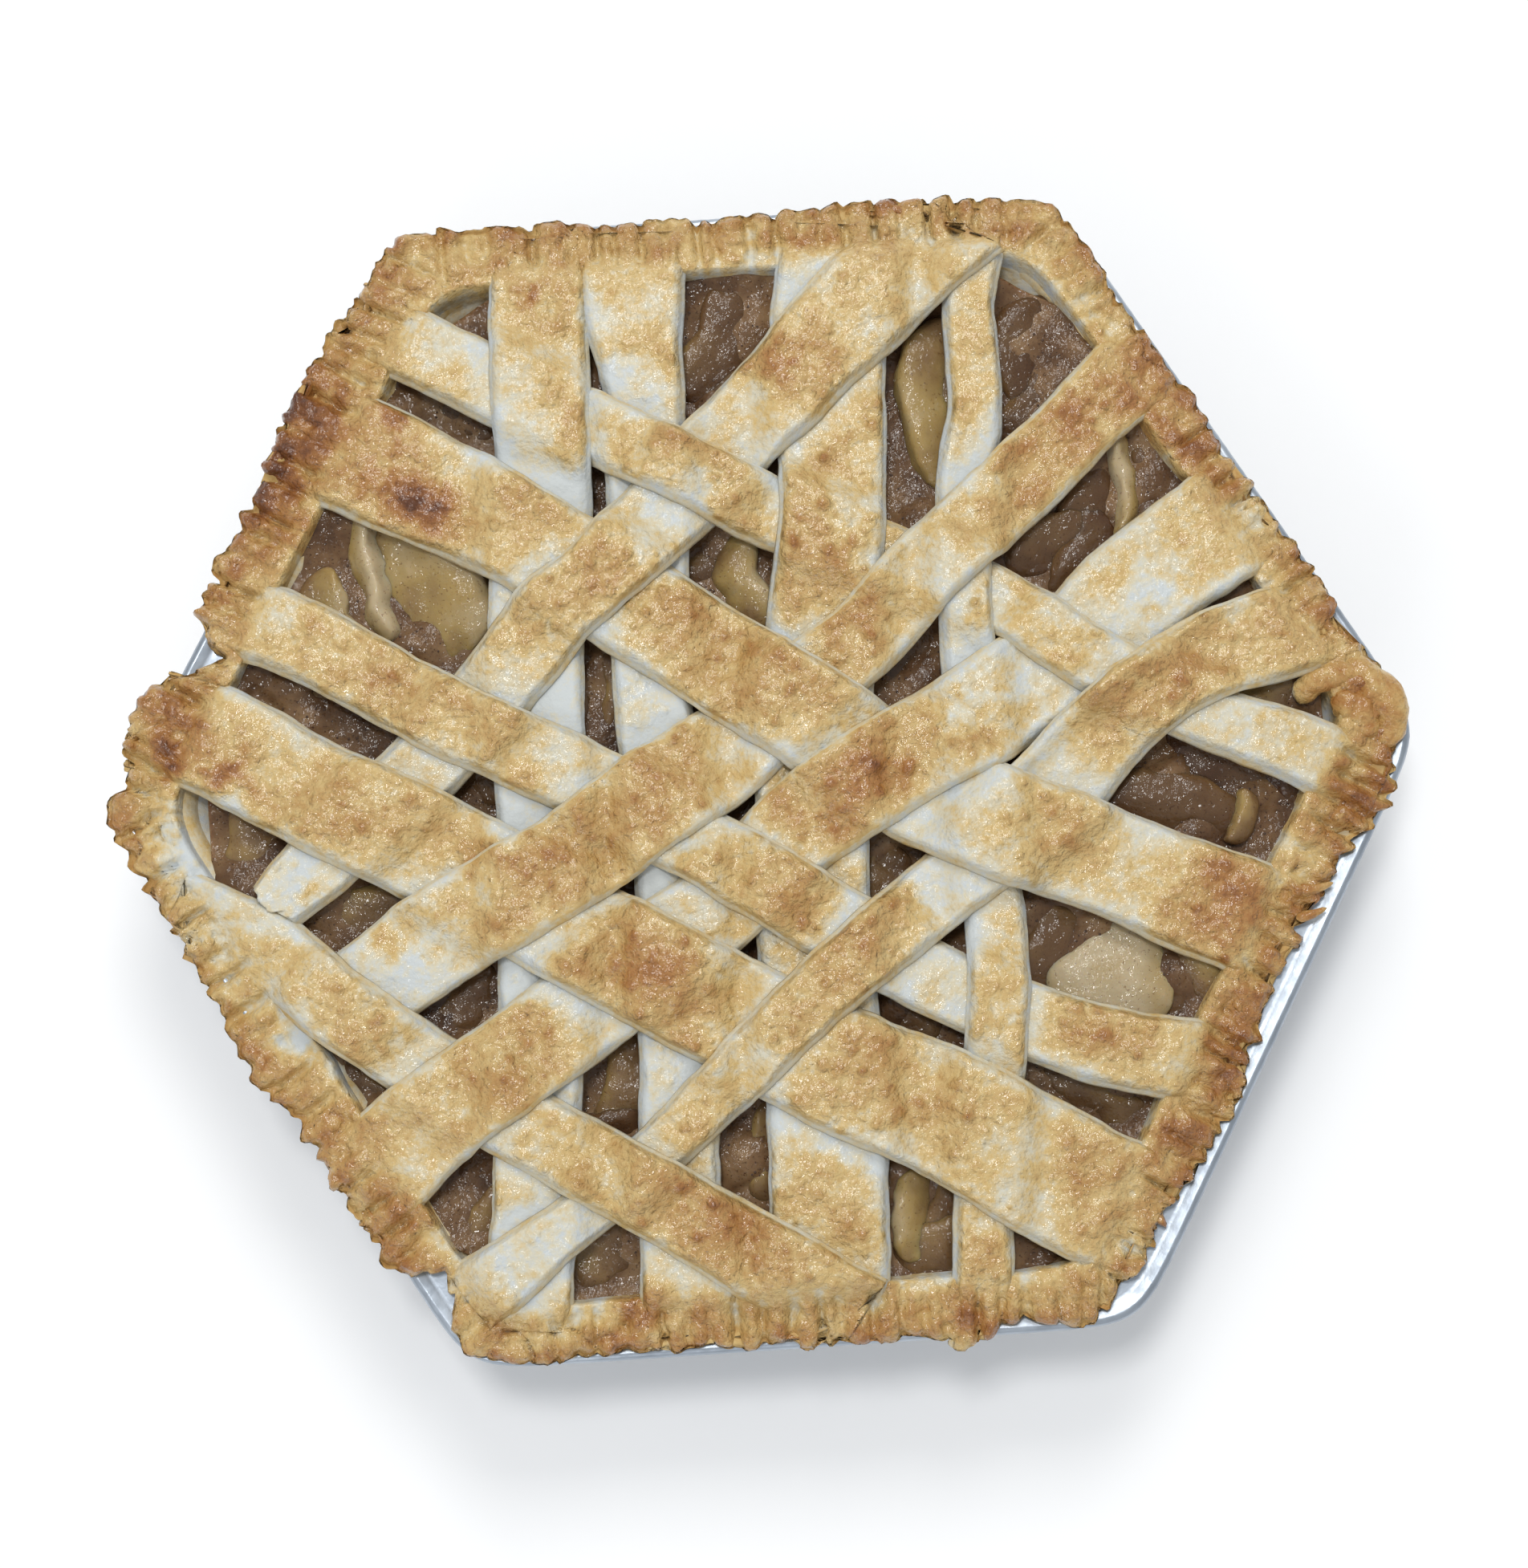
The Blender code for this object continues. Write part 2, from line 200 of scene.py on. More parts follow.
def smoothPath(points, spacing):
    # curve through the control points, resampled evenly; columns are x, y, width
    p = np.array(points, float)
    p = np.vstack([2 * p[0] - p[1], p, 2 * p[-1] - p[-2]])
    out = []
    for k in range(1, len(p) - 2):
        t = np.linspace(0, 1, 24, endpoint=False)[:, None]
        out.append(0.5 * (2 * p[k] + (p[k + 1] - p[k - 1]) * t
                          + (2 * p[k - 1] - 5 * p[k] + 4 * p[k + 1] - p[k + 2]) * t ** 2
                          + (3 * p[k] - p[k - 1] - 3 * p[k + 1] + p[k + 2]) * t ** 3))
    out = np.vstack(out + [p[-2][None]])
    run = np.concatenate([[0], np.cumsum(np.hypot(*np.diff(out[:, :2], axis=0).T))])
    even = np.arange(0, run[-1], spacing)
    return np.stack([np.interp(even, run, out[:, c]) for c in range(3)], 1)


# the lattice sits a little off the tin's centre
offset, shrink = (-3.3, -2.9), 0.992
strips = {name: [(x * shrink + offset[0], y * shrink + offset[1], w) for x, y, w in points]
          for name, points in strips.items()}
paths = {name: smoothPath(points, 1.0) for name, points in strips.items()}


def outsideOf(name, x, y):
    # distance outside a strip's edge, negative on the strip
    path = paths[name]
    flatX, flatY = np.ravel(x), np.ravel(y)
    out = np.empty(flatX.shape)
    for start in range(0, len(flatX), 20000):
        sx, sy = flatX[start:start + 20000, None], flatY[start:start + 20000, None]
        d2 = (sx - path[:, 0]) ** 2 + (sy - path[:, 1]) ** 2
        near = d2.argmin(1)
        out[start:start + 20000] = np.sqrt(d2[np.arange(len(near)), near]) - path[near, 2] / 2
    return out.reshape(np.shape(x))


# rim: where its crest, crimps and ragged edge are

rim = {"inner": [114.0, 112.8, 114.6, 115.0, 112.8, 108.6], "height": 43.8, "pitch": 5.8, "groove": 2.6,
       "edges": [125.3, 125.8, 129.2, 128.0, 124.8, 120.4]}
# where the outline runs out or draws in: place, radius, distance
bulges = [
    (30, 126, 13, 2.0), (-100, 90, 16, 3.4), (-125, 34, 6, -9.0), (-137, 20, 10, 1.0),
    (-140, 7, 4, -2.5), (-147, -9, 5, 6.0), (-137, -16, 3.5, -3.0), (-120, -60, 10, 6.6),
    (-106, -78, 7, -2.0), (-79, -111, 9, -8.5), (-80, -123, 7, 2.5), (-21, -127, 5, -2.0),
    (6, -129, 13, 1.2), (138, -17, 9, 6.0), (127, 22, 5, -5.0), (141, 5, 6, -0.5), (122, -36, 5, 1.0),
    (100, -82, 12, 3.8), (74, 124, 12, 1.5), (80, -108, 10, -1.0), (72, -122, 6, -3.0),
    (34, -131, 7, 4.0), (60, -127, 6, 1.8), (-68, 124, 8, 1.5),
]


def sideOf(x, y):
    # number of the nearest side and the signed place along it
    best = np.full(np.shape(x), -1e9)
    along, side = np.zeros(np.shape(x)), np.zeros(np.shape(x))
    for k, a in enumerate(sideAngles):
        d = x * math.cos(a) + y * math.sin(a)
        along = np.where(d > best, -x * math.sin(a) + y * math.cos(a), along)
        side = np.where(d > best, k, side)
        best = np.maximum(best, d)
    return side, along


def crimp(x, y):
    # 0 between tine marks, 1 in the middle of one; the marks are uneven in place, width and depth
    side, along = sideOf(x, y)
    warped = along + 0.8 * mottle(x, y, 9, 11, 2)
    place = np.floor(warped / rim["pitch"])
    most = 0 * x
    for step in (-1, 0, 1):
        k = place + step
        jitter, deep, wide = (hashed(k, side, 0 * x + n, 5) for n in (0, 1, 2))
        d = warped - (k + 0.5 + 0.26 * jitter) * rim["pitch"]
        mark = np.exp(-(d / (1.05 + 0.35 * wide)) ** 2) * np.clip(0.75 + 0.55 * deep, 0.1, 1.2)
        most = np.maximum(most, mark)
    return most * ease(0, 7, 72 - np.abs(along))


def rimEdge(x, y):
    edge = bySide(x, y, rim["edges"])
    for px, py, radius, out in bulges:
        edge = edge + out * np.exp(-((x - px) ** 2 + (y - py) ** 2) / radius ** 2)
    ragged = 0.8 * mottle(x, y, 21, 21, 2) + 1.3 * mottle(x, y, 5.5, 23)
    spiky = 3.0 * np.clip(grain(x, y, 0 * x, 2.4, 27), 0, 1) * bySide(x, y, (0.3, 0.1, 0.5, 0.6, 0.1, 0.8))
    return edge + ragged + spiky - 1.6 * crimp(x, y) + 0.5


def cracks(x, y):
    # thin wandering lines, 0 to 1
    lines = np.clip(1 - 9 * np.abs(mottle(x, y, 8, 37, 2)), 0, 1)
    return lines * ease(0, 0.4, mottle(x, y, 14, 39, 2))


def rimInner(x, y):
    return bySide(x, y, rim["inner"]) + 0.9 * mottle(x, y, 14, 30, 2)


def rimTop(x, y, reach):
    within = reach - rimInner(x, y)
    inside = ease(-0.5, 0.7, within)
    fall = ease(7, 13, within)
    lumps = 1.1 * mottle(x, y, 12, 31) + 1.0 * mottle(x, y, 4.2, 33)
    lumps = lumps + (0.95 * mottle(x, y, 2.0, 35) - 1.3 * cracks(x, y)) * ease(1, 6, within)
    press = crimp(x, y) * rim["groove"] * ease(1, 7, within)
    return rim["height"] - 7.0 * (1 - inside) - 1.0 * fall + lumps * (0.3 + 0.7 * inside) - press


# meshes are grids from an operator, bent by functions of place

def gridPiece(name, nu, nv):
    bpy.ops.mesh.primitive_grid_add(x_subdivisions=nu, y_subdivisions=nv, size=2)
    piece = bpy.context.object
    piece.name = name
    piece.data.name = name
    co = np.empty(len(piece.data.vertices) * 3)
    piece.data.vertices.foreach_get("co", co)
    co = co.reshape(-1, 3)
    order = np.lexsort((co[:, 0].round(6), co[:, 1].round(6)))
    return piece, order, np.unique(co[:, 0].round(6)).size, np.unique(co[:, 1].round(6)).size


def bendGrid(piece, order, x, y, z, layers, merge=0.00002):
    # x, y, z are arrays of rows v and columns u; layers are named per-point values
    co = np.empty((x.size, 3))
    co[order] = np.stack([x.ravel(), y.ravel(), z.ravel()], 1) * mm
    piece.data.vertices.foreach_set("co", co.ravel())
    for key, values in layers.items():
        layer = piece.data.attributes.new(key, "FLOAT", "POINT")
        spread = np.empty(x.size, np.float32)
        spread[order] = np.broadcast_to(values, x.shape).ravel()
        layer.data.foreach_set("value", spread)
    piece.data.update()
    bpy.ops.object.select_all(action="DESELECT")
    piece.select_set(True)
    bpy.context.view_layer.objects.active = piece
    bpy.ops.object.mode_set(mode="EDIT")
    bpy.ops.mesh.select_all(action="SELECT")
    bpy.ops.mesh.remove_doubles(threshold=merge)
    bpy.ops.mesh.normals_make_consistent(inside=False)
    bpy.ops.object.mode_set(mode="OBJECT")
    bpy.ops.object.shade_smooth()
    return piece


def joined(made, name):
    bpy.ops.object.select_all(action="DESELECT")
    for piece in made:
        piece.select_set(True)
    bpy.context.view_layer.objects.active = made[0]
    bpy.ops.object.join()
    piece = bpy.context.object
    piece.name = name
    return piece


# materials

def newMaterial(name):
    material = bpy.data.materials.new(name)
    material.use_nodes = True
    tree = material.node_tree
    return material, tree, tree.nodes["Principled BSDF"]


def addNode(tree, kind, **settings):
    node = tree.nodes.new(kind)
    for key, value in settings.items():
        setattr(node, key, value)
    return node


def noiseNode(tree, coords, scale, detail=3, rough=0.55):
    node = addNode(tree, "ShaderNodeTexNoise")
    node.inputs["Scale"].default_value = scale
    node.inputs["Detail"].default_value = detail
    node.inputs["Roughness"].default_value = rough
    tree.links.new(coords, node.inputs["Vector"])
    return node.outputs["Fac"]


def mathNode(tree, operation, a, b, clamp=False):
    node = addNode(tree, "ShaderNodeMath", operation=operation, use_clamp=clamp)
    for socket, value in zip(node.inputs, (a, b)):
        if hasattr(value, "links"):
            tree.links.new(value, socket)
        else:
            socket.default_value = value
    return node.outputs[0]


def rampNode(tree, fac, stops):
    node = addNode(tree, "ShaderNodeValToRGB")
    ramp = node.color_ramp
    while len(ramp.elements) < len(stops):
        ramp.elements.new(0.5)
    for element, (place, colour) in zip(ramp.elements, stops):
        element.position = place
        element.color = (*colour, 1)
    tree.links.new(fac, node.inputs["Fac"])
    return node.outputs["Color"]


def bumpNode(tree, height, strength, distance, under=None):
    node = addNode(tree, "ShaderNodeBump")
    node.inputs["Strength"].default_value = strength
    node.inputs["Distance"].default_value = distance
    tree.links.new(height, node.inputs["Height"])
    if under is not None:
        tree.links.new(under, node.inputs["Normal"])
    return node.outputs["Normal"]


def addNoise(tree, value, coords, scale, detail, rough, amount, clamp=False):
    # value, spread either way by noise
    spread = mathNode(tree, "SUBTRACT", noiseNode(tree, coords, scale, detail, rough), 0.5)
    return mathNode(tree, "ADD", value, mathNode(tree, "MULTIPLY", spread, amount), clamp)


def speckled(tree, coords, colour, scale, stops, amount):
    # small dark spots of spice over a colour
    dark = rampNode(tree, noiseNode(tree, coords, scale, 2, 0.6), stops)
    mix = addNode(tree, "ShaderNodeMix", data_type="RGBA", blend_type="MULTIPLY")
    mix.inputs[0].default_value = amount
    tree.links.new(colour, mix.inputs[6])
    tree.links.new(dark, mix.inputs[7])
    return mix.outputs[2]


def setSockets(shader, values):
    for key, value in values.items():
        shader.inputs[key].default_value = value


def wetFilm(tree, coords, shader, weight, lumps):
    # a thin wet film, finely rippled, over a softly lumpy surface
    setSockets(shader, {"Coat Weight": weight, "Coat Roughness": 0.05, "Coat IOR": 1.45})
    soft = bumpNode(tree, noiseNode(tree, coords, lumps, 3, 0.5), 0.5, 0.0008)
    tree.links.new(soft, shader.inputs["Normal"])
    film = bumpNode(tree, noiseNode(tree, coords, 520, 2, 0.5), 1.0, 0.0008, soft)
    tree.links.new(film, shader.inputs["Coat Normal"])


def pastryMaterial():
    material, tree, shader = newMaterial("pastry")
    coords = addNode(tree, "ShaderNodeTexCoord").outputs["Object"]
    brown = addNode(tree, "ShaderNodeAttribute", attribute_name="brown").outputs["Fac"]
    wash = addNode(tree, "ShaderNodeAttribute", attribute_name="wash").outputs["Fac"]
    tone = addNoise(tree, brown, coords, 130, 6, 0.72, 0.66)
    tone = addNoise(tree, tone, coords, 620, 3, 0.6, 0.30, True)
    # raw dough, pale, with a bluish grey that is painted shade, cream, gold, amber, brown, dark brown,
    # burnt
    colour = rampNode(tree, tone, [
        (0.0, (0.55, 0.58, 0.58)), (0.12, (0.62, 0.57, 0.43)), (0.28, (0.60, 0.43, 0.18)),
        (0.46, (0.48, 0.285, 0.095)), (0.64, (0.37, 0.165, 0.042)), (0.82, (0.24, 0.085, 0.018)),
        (1.0, (0.11, 0.033, 0.009))])
    tree.links.new(colour, shader.inputs["Base Color"])
    setSockets(shader, {"Roughness": 0.5, "Specular IOR Level": 0.2})
    # the egg wash is a patchy gloss
    patchy = mathNode(tree, "MULTIPLY", noiseNode(tree, coords, 200, 2, 0.5), 2.4)
    patchy = mathNode(tree, "SUBTRACT", patchy, 0.05)
    tree.links.new(mathNode(tree, "MULTIPLY", wash, patchy, True), shader.inputs["Coat Weight"])
    setSockets(shader, {"Coat Roughness": 0.08, "Coat IOR": 1.5})
    # pale dough is smooth, baked dough is pitted and wrinkled
    rough = mathNode(tree, "ADD", mathNode(tree, "MULTIPLY", wash, 0.8), 0.2)
    wrinkles = mathNode(tree, "MULTIPLY", noiseNode(tree, coords, 300, 4, 0.6), rough)
    pits = mathNode(tree, "MULTIPLY", noiseNode(tree, coords, 900, 2, 0.5), rough)
    base = bumpNode(tree, pits, 0.8, 0.0008, bumpNode(tree, wrinkles, 1.0, 0.0018))
    tree.links.new(base, shader.inputs["Normal"])
    gentle = bumpNode(tree, wrinkles, 0.6, 0.0014)
    film = bumpNode(tree, noiseNode(tree, coords, 480, 2, 0.5), 1.0, 0.0008, gentle)
    tree.links.new(film, shader.inputs["Coat Normal"])
    return material


def fillingMaterial():
    material, tree, shader = newMaterial("spicedJuice")
    coords = addNode(tree, "ShaderNodeTexCoord").outputs["Object"]
    colour = rampNode(tree, noiseNode(tree, coords, 75, 4, 0.62), [
        (0.28, (0.05, 0.022, 0.010)), (0.45, (0.12, 0.062, 0.028)), (0.58, (0.20, 0.115, 0.055)),
        (0.75, (0.31, 0.20, 0.10))])
    spots = [(0.60, (1, 1, 1)), (0.70, (0.22, 0.12, 0.08))]
    tree.links.new(speckled(tree, coords, colour, 1500, spots, 0.8), shader.inputs["Base Color"])
    setSockets(shader, {"Roughness": 0.45, "Specular IOR Level": 0.08, "Subsurface Weight": 0.25,
                        "Subsurface Radius": (1.0, 0.45, 0.25), "Subsurface Scale": 0.003})
    wetFilm(tree, coords, shader, 0.55, 220)
    return material


def fruitMaterial():
    material, tree, shader = newMaterial("cookedFruit")
    coords = addNode(tree, "ShaderNodeTexCoord").outputs["Object"]
    tint = addNode(tree, "ShaderNodeAttribute", attribute_name="tint").outputs["Fac"]
    # soaked with juice at 0, pale at 1
    colour = rampNode(tree, addNoise(tree, tint, coords, 80, 3, 0.5, 0.5, True), [
        (0.0, (0.06, 0.024, 0.010)), (0.38, (0.13, 0.07, 0.03)), (0.55, (0.20, 0.12, 0.052)),
        (0.75, (0.34, 0.235, 0.085)), (1.0, (0.46, 0.37, 0.23))])
    spots = [(0.62, (1, 1, 1)), (0.70, (0.35, 0.2, 0.12))]
    tree.links.new(speckled(tree, coords, colour, 1300, spots, 0.6), shader.inputs["Base Color"])
    setSockets(shader, {"Roughness": 0.4, "Specular IOR Level": 0.1, "Subsurface Weight": 0.4,
                        "Subsurface Radius": (1.0, 0.6, 0.25), "Subsurface Scale": 0.004})
    wetFilm(tree, coords, shader, 0.65, 230)
    return material


def tinMaterial():
    material, tree, shader = newMaterial("tinSheet")
    coords = addNode(tree, "ShaderNodeTexCoord").outputs["Object"]
    colour = rampNode(tree, noiseNode(tree, coords, 60, 4, 0.6), [
        (0.3, (0.32, 0.36, 0.41)), (0.6, (0.46, 0.51, 0.57)), (0.8, (0.54, 0.58, 0.63))])
    tree.links.new(colour, shader.inputs["Base Color"])
    shader.inputs["Metallic"].default_value = 0.85
    rough = rampNode(tree, noiseNode(tree, coords, 300, 3, 0.6), [(0.3, (0.32,) * 3), (0.7, (0.5,) * 3)])
    tree.links.new(rough, shader.inputs["Roughness"])
    scratches = bumpNode(tree, noiseNode(tree, coords, 500, 4, 0.6), 0.25, 0.0002)
    tree.links.new(scratches, shader.inputs["Normal"])
    return material


def speckMaterial():
    material, _, shader = newMaterial("spiceSpeck")
    setSockets(shader, {"Base Color": (0.06, 0.028, 0.014, 1), "Roughness": 0.6})
    return material


looks = {
    "pastry": pastryMaterial(),
    "filling": fillingMaterial(),
    "fruit": fruitMaterial(),
    "tin": tinMaterial(),
    "speck": speckMaterial(),
}


def dress(piece, look, slot, *nodes):
    piece.data.materials.clear()
    piece.data.materials.append(looks[look])
    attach(piece, "root")
    if nodes:
        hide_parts(*nodes)
    return piece


# baked patches: place, radius, how much darker or paler

patches = [
    (-77, 86, 4, 0.40), (-74, 67, 9, 0.30), (-69, 61, 6, 0.20), (-98, 92, 9, 0.24), (-103, 80, 9, 0.28),
    (-107, 69, 7, 0.24), (-34, 46, 8, 0.22), (-45, 110, 3.5, 0.35), (3, 92, 8, 0.20), (-8, 70, 8, 0.14),
    (-132, 12, 8, 0.34), (-117, 7, 5, 0.34), (-130, 23, 6, 0.14), (-62, -18, 6, 0.26),
    (-63, -50, 5, 0.24), (-70, -57, 5, 0.24), (-95, -73, 8, 0.20), (-85, -98, 7, 0.20),
    (-12, -98, 10, 0.12), (-37, -118, 6, 0.20), (88, 78, 8, 0.22), (97, 68, 7, 0.28),
    (106, 58, 6, 0.18), (128, 26, 7, 0.24), (135, 8, 9, 0.20), (139, -10, 8, 0.36), (133, -17, 7, 0.24),
    (112, -42, 9, 0.22), (104, -58, 8, 0.20), (97, -70, 8, 0.20), (84, -86, 7, 0.20),
    (62, -22, 9, 0.10), (60, -92, 8, 0.14), (38, -120, 5, 0.26), (24, -2, 9, 0.18), (-88, 78, 18, 0.13),
    (-125, 13, 14, 0.12), (102, -38, 16, 0.12), (88, -68, 12, 0.08), (75, -102, 14, 0.08),
    (99, 68, 14, 0.10), (14, 50, 12, 0.14), (17, 36, 9, 0.08), (18, 69, 8, 0.06), (85, 8, 10, 0.12),
    (70, 74, 8, 0.12), (6, -32, 8, 0.10), (-28, -42, 9, 0.08), (100, -35, 10, 0.10),
    (-16, 57, 9, -0.26), (-25, 88, 9, -0.22), (46, 13, 14, -0.34), (60, 18, 8, -0.16),
    (-78, -38, 15, -0.36), (-58, -101, 14, -0.34), (-108, -19, 10, -0.36), (-126, -12, 14, -0.34),
    (35, -26, 9, -0.28), (12, 70, 8, -0.12), (108, 4, 10, -0.20), (88, 30, 8, -0.22),
    (-105, -48, 9, -0.22), (-118, -36, 8, -0.10), (60, 95, 8, -0.12), (-45, -35, 9, -0.14),
    (30, -112, 9, -0.10), (52, -50, 8, -0.04), (-62, 100, 8, -0.10), (-30, -20, 8, -0.10),
]


def patchTone(x, y):
    total = 0 * x
    wx, wy = x + 6 * mottle(x, y, 9, 331, 4), y + 6 * mottle(x, y, 9, 337, 4)
    for px, py, radius, amount in patches:
        total = total + amount * np.exp(-((wx - px) ** 2 + (wy - py) ** 2) / radius ** 2 * 1.3)
    return total * (1 + 0.6 * mottle(x, y, 3.4, 341))


# lattice strips

lattice = {"thickness": 3.4, "step": 3.4, "base": 43.0, "reachIn": 1.0, "reachOut": 6.5, "spacing": 0.62,
           "flare": 1.7}


def weaveHeight(name, x, y):
    total = 0 * x
    for other in beneath[name]:
        total = total + 1 - ease(-lattice["reachIn"], lattice["reachOut"], outsideOf(other, x, y))
    return total


def coveredBy(name, x, y):
    # 1 under or right beside a strip that lies over this one
    most = 0 * x
    for other in above[name]:
        most = np.maximum(most, 1 - ease(-2, 9, outsideOf(other, x, y)))
    return most


def crossSection(halfWidth):
    # points round a strip's section: across in mm and height share
    shoulder = [0.0, 0.25, 0.6, 1.1, 1.8]
    inner = halfWidth - 2.7
    middle = list(np.linspace(-inner, inner, max(5, int(2 * inner / lattice["spacing"]))))
    across = [-halfWidth + s for s in shoulder] + middle + [halfWidth - s for s in shoulder[::-1]]
    drop = [0.26 * max(0, 1 - (halfWidth - abs(a)) / 1.3) ** 2 for a in across]
    loop = [(a, 1 - d) for a, d in zip(across, drop)]
    loop += [(halfWidth, h) for h in (0.5, 0.33, 0.16)]
    loop += [(a, 0.0) for a in np.linspace(halfWidth - 0.2, -halfWidth + 0.2, 8)]
    loop += [(-halfWidth, h) for h in (0.16, 0.33, 0.5)]
    loop.append(loop[0])
    return np.array(loop)


def rimTone(x, y, reach):
    within = reach - rimInner(x, y)
    tone = 0.33 + 0.10 * ease(1, 7, within) + 0.08 * ease(7, 13, within)
    tone = tone + 0.16 * mottle(x, y, 13, 310)
    return tone + 0.22 * mottle(x, y, 4.2, 33) - 0.14 * crimp(x, y) + 0.12 * cracks(x, y)


def stripPiece(name, node, index):
    path = smoothPath(strips[name], lattice["spacing"])
    widest = path[:, 2].max() / 2
    loop = crossSection(widest)
    piece, order, nu, _ = gridPiece(node.replace("strip_", "pastry_"), len(path) - 1, len(loop) - 1)
    path = path[:nu]
    run = np.gradient(path[:, :2], axis=0)
    run /= np.hypot(*run.T)[:, None]
    runX, runY = run.T
    across = loop[:, 0:1] / widest * (path[:, 2] / 2)
    high = np.repeat(loop[:, 1:2], nu, 1)
    place = np.arange(nu) * lattice["spacing"]
    edge = np.abs(loop[:, 0:1]) / widest
    along, hand = place + 0 * across, np.sign(across)
    wobble = 0.45 * mottle(along, hand * 40 + index * 90, 8, 50)
    # the cut sides lean outwards towards the bottom
    uneven = 1 + 0.5 * clouds(along, hand * 70, 0 * across + index * 9, 16, 51, 2)
    lean = lattice["flare"] * (0.45 - high) * uneven
    across = across + hand * edge ** 3 * (wobble + lean)
    x = path[:, 0] - runY * across
    y = path[:, 1] + runX * across
    if name == "rising1":
        torn = ease(14, 2, place[-1] - place)
        tear = 3.0 * mottle(across, 0 * across + 5, 3.5, 52) * torn
        x, y = x + runX * tear, y + runY * tear
    # the ends stop at the rim's edge, cut along it, with what is left over tucked in
    tuck = np.clip(hexReach(x, y) - rimEdge(x, y) - 0.2, 0, 4)
    limit = rimEdge(x, y) + 0.2 - 0.6 * tuck
    for _ in range(3):
        excess = np.clip(hexReach(x, y) - limit, 0, None)
        out = x * runX + y * runY
        back = excess / np.clip(np.abs(out) / np.hypot(x, y), 0.45, 1) * np.sign(out)
        x, y = x - runX * back, y - runY * back
    reach = hexReach(x, y)
    level = weaveHeight(name, x, y)
    covered = coveredBy(name, x, y)
    onRim = ease(-1, 6, reach - rimInner(x, y))
    lowest = lattice["base"] + lattice["step"] * level
    thin = lattice["thickness"] * (1 - 0.12 * onRim)
    # pressed onto the rim, the end follows its surface and its sides sink in
    pressed = ease(0, 9, reach - rimInner(x, y))
    ends = rimTop(x, y, reach) + 0.55 + 0.6 * level * (1 - pressed) - thin - 1.0 * edge ** 8
    ends = ends - 1.3 * ease(-1.4, 0.2, reach - rimEdge(x, y)) ** 2
    bottom = lowest * (1 - onRim) + ends * onRim
    thinner = 0.6 * lattice["thickness"] * ease(-5, 0, reach - rimEdge(x, y))
    bottom = bottom - 0.15 * tuck + thinner
    thick = thin * (1 - 0.10 * covered) - thinner
    puff = 0.5 * mottle(x, y, 11, 60 + index)
    tone = mottle(x, y, 19, 140 + index)
    baked = ease(-0.5, 0.5, tone + 0.25 * level + 2.5 * patchTone(x, y) - 0.6 * covered)
    bubbles = 0.85 * blisters(x, y, 6.5, 70 + index, 0.4) + 0.55 * blisters(x, y, 2.9, 90 + index, 0.55)
    relief = bubbles * baked + (0.12 + 0.42 * baked) * mottle(x, y, 4.2, 110 + index)
    relief = relief + 0.16 * baked * grain(x, y, 0 * x, 1.9, 120 + index)
    top = np.clip((high - 0.55) / 0.4, 0, 1)
    z = bottom + thick * high + (puff * (1 - 0.7 * onRim) + relief) * top
    sides = (high > 0.05) & (high < 0.66)
    flaky = 0.16 * np.sin(high * 21 + 2 * mottle(x, y, 12, 180, 2))
    flaky = flaky * sides * np.sign(across)
    x, y = x - runY * flaky, y + runX * flaky
    brown = 0.33 + 0.02 * level + 0.24 * tone + 0.19 * relief
    # uprights lie lowest: in the middle, and where strips lie over them, they go paler into the bluish grey
    # stop; this is partly less baked dough and partly painted shade
    if name in ("upright1", "upright2"):
        brown = brown - 0.20 * (1 - ease(55, 85, np.abs(y)))
    elif name in ("upright3", "upright4"):
        brown = brown - 0.06 * (1 - ease(55, 85, np.abs(y)))
    brown = brown - 0.22 * covered - 0.14 * edge ** 5
    brown = brown * (1 - onRim) + rimTone(x, y, reach) * onRim + patchTone(x, y)
    # only the uprights may reach the bluish grey painted shade; the other strips stay cream
    if "upright" not in name:
        brown = np.maximum(brown, 0.08)
    # cut sides: cream on the diagonals, lower on the uprights and nearer the bluish grey painted shade
    cutTone = (0.06 if "upright" in name else 0.15) + 0.25 * onRim + 0.05 * tone
    brown = np.where(sides | (high < 0.05), cutTone, brown)
    wash = np.clip(0.25 + 2.4 * (brown - 0.10), 0, 1) * top
    layers = {"brown": np.clip(brown, 0, 1), "wash": wash}
    # each end closes to a point
    for c, step in ((0, 1), (nu - 1, -1)):
        x[:, c] = x[:, c].mean()
        y[:, c] = y[:, c].mean()
        z[:, c] = (bottom[:, c + step] + thick[:, c + step] * 0.5).mean()
    bendGrid(piece, order, x, y, z, layers)
    return dress(piece, "pastry", "strip", node)


nodeOf = {name: "strip_" + name[:-1] + "_" + name[-1] for name in strips}
for index, name in enumerate(strips):
    stripPiece(name, nodeOf[name], index)
print("strips done")


# lower crust with its crimped rim

crust = {
    "around": 1100,
    "rows": 30,
    # reach and height, up the inside of the shell and back under it
    "inside": [(0.01, 4.3), (60, 4.3), (96, 4.3), (99.4, 6), (101.5, 8), (107.5, 30), (109.6, 34.5),
               (112.2, 36.0)],
    "lip": [(0.35, 41.5), (0.1, 40.6), (-0.8, 40.3)],
    "under": [(122.5, 39.25), (116, 39.25), (114.6, 39.2), (112.8, 37), (104.2, 5.1), (102.4, 2.3),
              (98.6, 1.25), (50, 1.25), (0.01, 1.25)],
}


